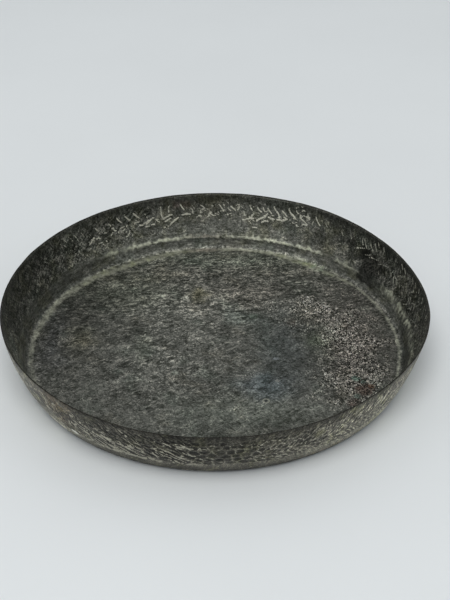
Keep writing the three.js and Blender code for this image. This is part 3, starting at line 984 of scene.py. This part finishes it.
class Shader:
    """A material under construction. self.at is the object coordinate, in metres."""

    def __init__(self, name):
        self.material = bpy.data.materials.new(name)
        self.material.use_nodes = True
        self.tree = self.material.node_tree
        self.tree.nodes.clear()
        self.at = self.node("ShaderNodeTexCoord", output="Object")

    def make(self, kind, inputs, props):
        node = self.tree.nodes.new(kind)
        for key, value in props.items():
            setattr(node, key, value)
        for key, value in inputs.items():
            socket = node.inputs[key]
            if isinstance(value, Value):
                self.tree.links.new(value.socket, socket)
            elif isinstance(value, (tuple, np.ndarray)):
                value = tuple(float(c) for c in value)
                missing_alpha = len(value) < len(socket.default_value)
                socket.default_value = value + (1.0,) if missing_alpha else value
            else:
                socket.default_value = value
        return node

    def node(self, kind, inputs={}, output=0, **props):
        return Value(self, self.make(kind, inputs, props).outputs[output])

    def math(self, operation, *values, clamp=False):
        inputs = dict(enumerate(values))
        return self.node("ShaderNodeMath", inputs, operation=operation, use_clamp=clamp)

    def mix(self, factor, a, b, blend="MIX"):
        return self.node("ShaderNodeMix", {0: factor, 6: a, 7: b}, output=2,
                         data_type="RGBA", blend_type=blend)

    def tint(self, factor, colour, rgb):
        """Colour multiplied by rgb where factor is 1."""
        return self.mix(factor, colour, self.mix(1.0, colour, rgb, "MULTIPLY"))

    def toned(self, colour, tone):
        """Colour scaled by a tone given as a natural logarithm."""
        return self.node("ShaderNodeVectorMath", {0: colour, 3: tone.exp()}, operation="SCALE")

    def noise(self, where, scale, detail, roughness, distortion=0.0):
        return self.node("ShaderNodeTexNoise", {
            "Vector": where, "Scale": scale, "Detail": detail, "Roughness": roughness,
            "Distortion": distortion})

    def moved(self, offset, stretch=(1, 1, 1), where=None):
        return self.node("ShaderNodeMapping", {
            "Vector": where or self.at, "Location": offset, "Scale": stretch})

    def turned(self, angle):
        return self.node("ShaderNodeVectorRotate", {"Vector": self.at, "Angle": angle},
                         rotation_type="Z_AXIS")

    def coordinate(self, axis):
        return self.node("ShaderNodeSeparateXYZ", {0: self.at}, output=axis)

    def distance(self, centre):
        """Distance (m) from a point given in mm."""
        return self.node("ShaderNodeVectorMath", {0: self.at, 1: tuple(c * .001 for c in centre)},
                         output="Value", operation="DISTANCE")

    def attribute(self, name):
        return self.node("ShaderNodeAttribute", output="Color", attribute_name=name)

    def channels(self, name):
        """The three channels of a mesh attribute."""
        node = self.make("ShaderNodeSeparateColor", {0: self.attribute(name)}, {})
        return [Value(self, socket) for socket in node.outputs]

    def lines(self, where, scale, width, distortion, detail):
        """Thin wandering lines: where a noise crosses its middle value."""
        return abs(self.noise(where, scale, detail, .5, distortion) - 0.5).ramp(width, 0.0)

    def sheared(self, turn, z_scale):
        """Coordinates turned about the axis in step with height: noise on these slants."""
        turned = self.turned(self.coordinate(2) * turn)
        return self.moved((0, 0, 0), (1, 1, z_scale), turned)

    def dashes(self, degrees, scale, stretch, offset):
        """Noise drawn out along one direction on the floor: short parallel dashes."""
        turned = self.turned(-math.radians(degrees))
        return self.noise(self.moved(offset, (stretch, 1, 1), turned), scale, 2, .5, .9)

    def spot(self, centre, radius, ragged, soft=0.35):
        """1 inside a ragged round spot (mm), 0 outside."""
        d = self.distance(centre) * (1000.0 / radius) + (ragged - 0.5) * 2.0
        return d.ramp(1.0 + soft, 1.0 - soft)

    def wear_and_highlight(self, colour, pale, gain, fray, span, bright, mottle, cover):
        """Brightens the frayed pale marks, worn places and painted highlights; returns their mask and
        the new colour.
        """
        edge = (pale * gain + grain(*fray)).ramp(*span) * pale.ramp(.02, .15)
        cover = self.math("MULTIPLY", edge, cover, clamp=True)
        return edge, self.mix(cover, colour, self.toned(srgb(*bright), grain(*mottle)))

    def relief(self, tone, edge, small):
        """Bump normal from the tone, the bright marks and the 5 mm noise."""
        height = tone.max(-1.5).min(1.5) * .28 + edge * .5 + small * .8
        return self.node("ShaderNodeBump", {"Strength": .55, "Distance": .0005, "Height": height})

    def surface(self, **inputs):
        """Finishes the material; underscores in names stand for spaces."""
        named = {key.replace("_", " "): value for key, value in inputs.items()}
        self.make("ShaderNodeOutputMaterial",
                  {"Surface": self.node("ShaderNodeBsdfPrincipled", named)}, {})
        return self.material


def grain(*terms):
    """Sum of (noise - 0.5) * gain."""
    total = None
    for noise, gain in terms:
        part = (noise - .5) * gain
        total = part if total is None else total + part
    return total


# Small marks on the floor: x, y, radius (mm), sRGB colour, strength
SPOTS = [
    (132, -65, 8, (80, 52, 38), .65), (121, -84, 6, (84, 52, 44), .5),
    (138, -60, 3, (96, 62, 34), .6), (72, 37, 6, (84, 68, 54), .35),
    (120, 32, 5, (88, 66, 50), .35), (125, -49, 3.6, (96, 134, 118), .6),
    (131, -54, 2.5, (88, 124, 110), .5), (124, -74, 3, (84, 116, 104), .45),
    (93, 8, 7, (82, 96, 74), .35), (-82, 12, 5, (44, 46, 41), .6),
    (-71, 21, 5, (42, 44, 40), .6), (-53, 9, 5, (46, 48, 43), .5),
    (-36, -40, 3.4, (150, 157, 146), .6), (-67, -18, 2.0, (160, 164, 150), .7),
    (55, -52, 2.0, (165, 165, 155), .7), (55, -19, 2.4, (150, 156, 158), .6),
    (-106, -60, 10, (120, 122, 114), .35), (-92, -84, 8, (118, 118, 110), .35),
    (18, -22, 3, (140, 142, 134), .5), (-60, -12, 3.5, (132, 140, 130), .4),
    (36, 48, 4.5, (120, 136, 118), .45), (1, 57, 3.2, (146, 146, 136), .4),
]


# ---------------------------------------------------------------- tin
def tin_dashes(tin):
    """Short dashes lying three ways, light less dark, each thickest in its own patches."""
    first = tin.dashes(36, 480, .26, (.3, .2, 0))
    second = tin.dashes(4, 500, .25, (.7, .5, 0))
    third = tin.dashes(-42, 490, .32, (.1, .9, 0))
    rear = tin.coordinate(1).ramp(-.02, .08, .45, 1.25)
    patches = tin.noise(tin.moved((.45, .05, 0)), 70, 3, .6)
    on_first = patches.ramp(.44, .56, .25, 1.0)
    on_third = patches.ramp(.54, .44, .15, 1.0)
    others = (second.ramp(.55, .64) * rear).max(third.ramp(.55, .64) * on_third)
    light = (first.ramp(.54, .63) * on_first).max(others)
    dark = (first.ramp(.46, .37) * on_first).max(second.ramp(.45, .36) * rear)
    return light * 1.0 - dark * .60


def tin_pale_lines(tin, noises, wall, net):
    """The worn high parts of the tin: wandering lines broken into short runs."""
    fine, small, broad, _, fleck = noises
    long = tin.lines(tin.moved((.2, 0, 0), (1, .74, 1)), 118, .055, 1.0, 2.0)
    close = tin.lines(tin.moved((0, .4, 0), (1, .70, 1)), 215, .085, .8, 1.2)
    wide = tin.lines(tin.moved((.6, .4, 0), (.75, 1.1, 1)), 92, .040, 1.2, 2.2)
    short = tin.lines(tin.moved((.4, .1, 0), (.9, .8, 1)), 330, .085, .7, 1.0)
    patchy = tin.noise(tin.moved((.9, .1, 0)), 48, 3, .6).ramp(.40, .60, .15, 1.0)
    wander = (long.max(close * .85) * small.ramp(.44, .53)).max(wide * broad.ramp(.44, .56))
    strokes = wander * fleck.ramp(.40, .52, .20, 1.0) * (patchy * net)
    short = short * fine.ramp(.44, .54) * ((net + .25) * .40)
    return strokes.max(short * (1.0 - wall * .7))


def tin_streaks(tin, tone, height, wall, streaks, broad):
    """Adds slanting streaks and smears on the wall to the tone."""
    left = tin.noise(tin.sheared(5.4, .34), 520, 2, .5, .3)
    right = tin.noise(tin.sheared(-4.4, .34), 500, 2, .5, .3)
    upright = tin.noise(tin.moved((0, 0, 0), (1, 1, .14)), 560, 2, .5)
    level = tin.noise(tin.moved((.4, .1, .7), (1, 1, 5.5)), 110, 3, .55, .4)
    light = left.ramp(.54, .61).max(right.ramp(.54, .61)) * broad.ramp(.40, .54, .25, 1.0)
    dark = left.ramp(.46, .39).max(right.ramp(.46, .39))
    tone = tone + light * streaks * 1.35 - dark * streaks * .8
    upper = wall * height.ramp(.024, .046, .25, 1.0)
    lower = height.ramp(.0022, .005) * height.ramp(.032, .018)
    return tone + grain((upright, 1.9)) * upper + grain((level, 2.3)) * lower


def tin_stains(tin, colour, tone, small, worm_noise):
    for x, y, radius, rgb, amount in SPOTS:
        mask = tin.spot((x, y, 1.3), radius, small) * worm_noise.ramp(.40, .56, .25, 1.0)
        stain = tin.toned(srgb(*rgb), (tone * .8).min(.25))
        colour = tin.mix(mask * amount, colour, stain)
    # a small ringed pit
    d = tin.distance((44.5, -80.5, 1.3)) * 1000
    colour = tin.mix(abs(d - 2.7).ramp(1.0, .2) * .75, colour, srgb(165, 165, 150))
    return tin.mix(d.ramp(1.9, 1.0, 0, .8), colour, srgb(30, 32, 28))


def tin_material():
    tin = Shader("tin_aged")
    patina = tin.attribute("patina")
    pale, streaks, ring = tin.channels("marks")
    worm, net, dark = tin.channels("zones")
    ring_tin = tin.attribute("ring_tin")

    # noises with grains of about 2.3, 5, 16 and 1 mm, and short flecks
    fine = tin.noise(tin.at, 430, 3, .6)
    small = tin.noise(tin.moved((.31, .17, .05)), 190, 4, .62, .3)
    broad = tin.noise(tin.moved((.11, .47, .25)), 62, 4, .6, .4)
    dust = tin.noise(tin.moved((.71, .27, .15)), 950, 2, .6)
    fleck = tin.noise(tin.moved((.05, .33, .21), (1, .74, 1)), 620, 2, .5, .6)
    height = tin.coordinate(2)
    wall = height.ramp(.0017, .0042)

    # tone in natural logarithm, so that light and dark balance
    calm = 1.0 - wall * (.40 - streaks * .36)
    tone = grain((fine, 1.0), (small, 1.3), (dust, 1.7), (fleck, 1.3)) * calm
    tone = tone + tin_dashes(tin) * ((net * .50 + .48) * (1.0 - wall * .55))
    tone = tone + grain((broad, 2.4)) * (1.0 - wall * .35)
    lines = tin_pale_lines(tin, (fine, small, broad, dust, fleck), wall, net)
    tone = tone * (net * .12 + .98) + lines * 1.65 - (net * .28 + .05)
    # dark lines and pits between the pale ones
    dark_lines = tin.lines(tin.moved((.8, .7, 0), (1, .74, 1)), 130, .05, 1.2, 2.0)
    pits = fine.ramp(.42, .35).max(dark_lines * small.ramp(.54, .44))
    tone = tone - pits * calm * .6
    # worm-eaten speckle
    worm_noise = tin.noise(tin.moved((.33, .77, .1), (1, .8, 1)), 520, 1.8, .5, 1.2)
    worm_mask = (worm + grain((broad, 1.1), (small, 1.1))).ramp(.06, .60)
    worm_lines = tin.lines(tin.moved((.13, .57, .1), (1, .8, 1)), 290, .10, 1.1, 1.2)
    worm_fine = tin.noise(tin.moved((.73, .17, .3), (1, .8, 1)), 880, 1.5, .5, .6)
    speckle = worm_noise.ramp(.45, .54, -1.75, .66) + worm_lines * .78
    speckle = speckle + worm_fine.ramp(.44, .56, -.85, .52)
    tone = tone * (1.0 - worm_mask * .55) + worm_mask * speckle + worm_mask * .10
    tone = tin_streaks(tin, tone, height, wall, streaks, broad)
    # marks pressed in and dark
    pressed = (dark + grain((fine, .8))).ramp(.1, .6) * dark.ramp(.02, .15)
    tone = tone - pressed * 1.0 + grain((dust, 1.8)) * streaks
    # the brightest rubs are held back a little
    over = (tone - 1.30).max(0.0) * .55
    tone = tone - over * (1.0 - worm_mask)

    # pale parts lean to pink-grey, dark parts to green-grey, with a broad cool and warm cast
    colour = tin.toned(patina, tone)
    colour = tin.tint(tone.ramp(.25, 1.3), colour, (1.035, .995, .98))
    colour = tin.tint(tone.ramp(-.05, -.9), colour, (.97, 1.01, .93))
    cast = tin.noise(tin.moved((.5, .5, .1)), 30, 3, .6)
    colour = tin.tint(cast.ramp(.53, .70, 0, .6), colour, (.93, 1.02, .98))
    colour = tin.tint(cast.ramp(.46, .32, 0, .7), colour, (1.035, 1.0, .95))
    colour = tin_stains(tin, colour, tone, small, worm_noise)
    # the thick tin of the ring and the ridge
    ring_colour = tin.toned(ring_tin, grain((fine, 1.0), (small, 1.3), (dust, .7)))
    ring_edge = (ring + grain((fine, .55), (small, .8), (broad, .4))).ramp(-.02, .90)
    colour = tin.mix(ring_edge * ring.ramp(.0, .25) * .93, colour, ring_colour)
    # pale hammer marks: worn tin, with a painted highlight on their raised strokes
    edge, colour = tin.wear_and_highlight(
        colour, pale, gain=1.35, fray=((fine, .6), (dust, .6)), span=(.40, .68),
        bright=(226, 223, 207), mottle=((dust, 1.2), (small, 1.0)), cover=.9)

    rough = (small - .5) * .5 + .54 - edge * .12 + tone.ramp(0, -1.2) * .12
    return tin.surface(Base_Color=colour, Metallic=.85, Roughness=rough.max(.34).min(.8),
                       Normal=tin.relief(tone, edge, small))


# ---------------------------------------------------------------- copper
def copper_material():
    copper = Shader("copper_aged")
    patina = copper.attribute("patina")
    pale, dark, zone = copper.channels("marks")
    rim = copper.channels("rim")[0]

    # noises from coarse to fine as in the tin, and two that slant opposite ways
    fine = copper.noise(copper.moved((.3, .6, .2)), 430, 3, .6)
    small = copper.noise(copper.moved((.6, .2, .3)), 180, 4, .6, .4)
    broad = copper.noise(copper.moved((.2, .2, .6)), 60, 4, .6, .3)
    dust = copper.noise(copper.moved((.4, .9, .6)), 950, 2, .6)
    fleck = copper.noise(copper.moved((.05, .33, .21), (1, 1, 1.2)), 620, 2, .5, .6)
    low_slant = copper.noise(copper.sheared(7.5, .36), 540, 2, .5, .25)
    high_slant = copper.noise(copper.sheared(-4.2, .36), 540, 2, .5, .25)

    tone = grain((fine, 1.5), (small, 1.7), (broad, 1.7), (dust, 3.2), (fleck, 3.0))
    above = (copper.coordinate(2) + (broad - .5) * .012).ramp(.0262, .0282)
    slant = high_slant * above + low_slant * (1.0 - above)
    tone = tone + slant.ramp(.53, .61) * zone * 1.15 - slant.ramp(.46, .38) * zone * .75
    bites = (dark + grain((fine, .7), (dust, .4))).ramp(.10, .62) * dark.ramp(.02, .15)
    tone = tone - bites * 1.55 + .06

    colour = copper.toned(patina, tone)
    colour = copper.tint(tone.ramp(.2, 1.2), colour, (1.0, 1.0, .94))
    edge, colour = copper.wear_and_highlight(
        colour, pale, gain=1.3, fray=((fine, .8), (dust, .6)), span=(.26, .62),
        bright=(190, 186, 168), mottle=((dust, 1.2), (small, 1.4)), cover=.85)
    # a white fleck at the left of the front
    white_fleck = copper.spot((-114.6, -139.2, 15.0), 3.5, fine, soft=.1)
    colour = copper.mix(white_fleck, colour, srgb(232, 230, 220))

    # the cut edge is dull: no metal, rougher, little specular
    rough = ((small - .5) * .4 + .50 - edge * .10).max(.32).min(.8)
    return copper.surface(Base_Color=colour, Metallic=.85 - rim * .85, Roughness=rough + rim * .3,
                          Normal=copper.relief(tone, edge, small),
                          Specular_IOR_Level=.5 - rim * .4)


lining.data.materials.append(tin_material())
body.data.materials.append(copper_material())
for piece, node in ((lining, "tin_lining"), (body, "copper_body")):
    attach(piece, "root")
    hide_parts(node)


# ---------------------------------------------------------------- studio, metres
def paper_material():
    paper = Shader("studio_paper")
    light = (.80, .825, .835)
    mottle = paper.noise(paper.at, 3, 3, .5).ramp(.3, .7)
    colour = paper.mix(mottle, light, tuple(c * .975 for c in light))
    return paper.surface(Base_Color=colour, Metallic=0.0, Roughness=.7, Specular_IOR_Level=.25)


# Radius and height of the sweep's rings
SWEEP_PROFILE = [(.6, 0), (1.4, 0), (2.3, 0), (2.6, .012), (2.9, .07), (3.15, .18), (3.35, .36),
                 (3.48, .62), (3.52, 1.0), (3.52, 1.5)]
SWEEP_SIDES = 96


def sweep():
    """A round floor whose edge curves up into a low wall."""
    n = SWEEP_SIDES
    verts = [(0, 0, 0)]
    for r, z in SWEEP_PROFILE:
        verts += [(r * math.cos(TAU * i / n), r * math.sin(TAU * i / n), z) for i in range(n)]
    faces = [(0, 1 + i, 1 + (i + 1) % n) for i in range(n)]
    for k in range(len(SWEEP_PROFILE) - 1):
        a, b = 1 + k * n, 1 + (k + 1) * n
        faces += [(a + i, b + i, b + (i + 1) % n, a + (i + 1) % n) for i in range(n)]
    mesh = bpy.data.meshes.new("studio_sweep")
    mesh.from_pydata(verts, [], faces)
    mesh.polygons.foreach_set("use_smooth", np.ones(len(mesh.polygons), bool))
    ob = bpy.data.objects.new("studio_sweep", mesh)
    bpy.context.scene.collection.objects.link(ob)
    mesh.materials.append(paper_material())
    return ob


def key_light():
    light = bpy.data.lights.new("key_softbox", "AREA")
    light.shape = "DISK"
    light.size = 2.0
    light.energy = 40
    light.color = (1.0, .995, .985)
    ob = bpy.data.objects.new("key_softbox", light)
    bpy.context.scene.collection.objects.link(ob)
    ob.location = (-.25, -1.25, 2.9)
    ob.rotation_mode = "QUATERNION"
    to_origin = -Vector((-.25, -1.25, 2.9))
    ob.rotation_quaternion = to_origin.to_track_quat("-Z", "Y")


def sky():
    world = bpy.data.worlds.new("studio_world")
    bpy.context.scene.world = world
    world.use_nodes = True
    background = world.node_tree.nodes["Background"]
    background.inputs["Color"].default_value = (.945, .972, .99, 1)
    background.inputs["Strength"].default_value = .58


ELEVATION, ROLL, DISTANCE = .5932, -.0024, 1.25423  # radians, radians, metres
AIM = Vector((.00912, .049552, .019))


def camera():
    data = bpy.data.cameras.new("camera")
    data.sensor_width = 36.0
    data.lens = 80.1
    data.clip_start, data.clip_end = .05, 30
    ob = bpy.data.objects.new("camera", data)
    bpy.context.scene.collection.objects.link(ob)
    back = Vector((0, -math.cos(ELEVATION), math.sin(ELEVATION)))
    level = Vector((1, 0, 0))
    right = level * math.cos(ROLL) + back.cross(level) * math.sin(ROLL)
    turn = Matrix((right, back.cross(right), back)).transposed().to_4x4()
    ob.matrix_world = Matrix.Translation(AIM + back * DISTANCE) @ turn
    bpy.context.scene.camera = ob


sweep().location.z = float(cad_lo.z) - 0.0004  # just under the dish
key_light()
sky()
camera()
bpy.context.scene.view_settings.view_transform = "Standard"
bpy.context.scene.view_settings.look = "None"

bpy.context.view_layer.update()
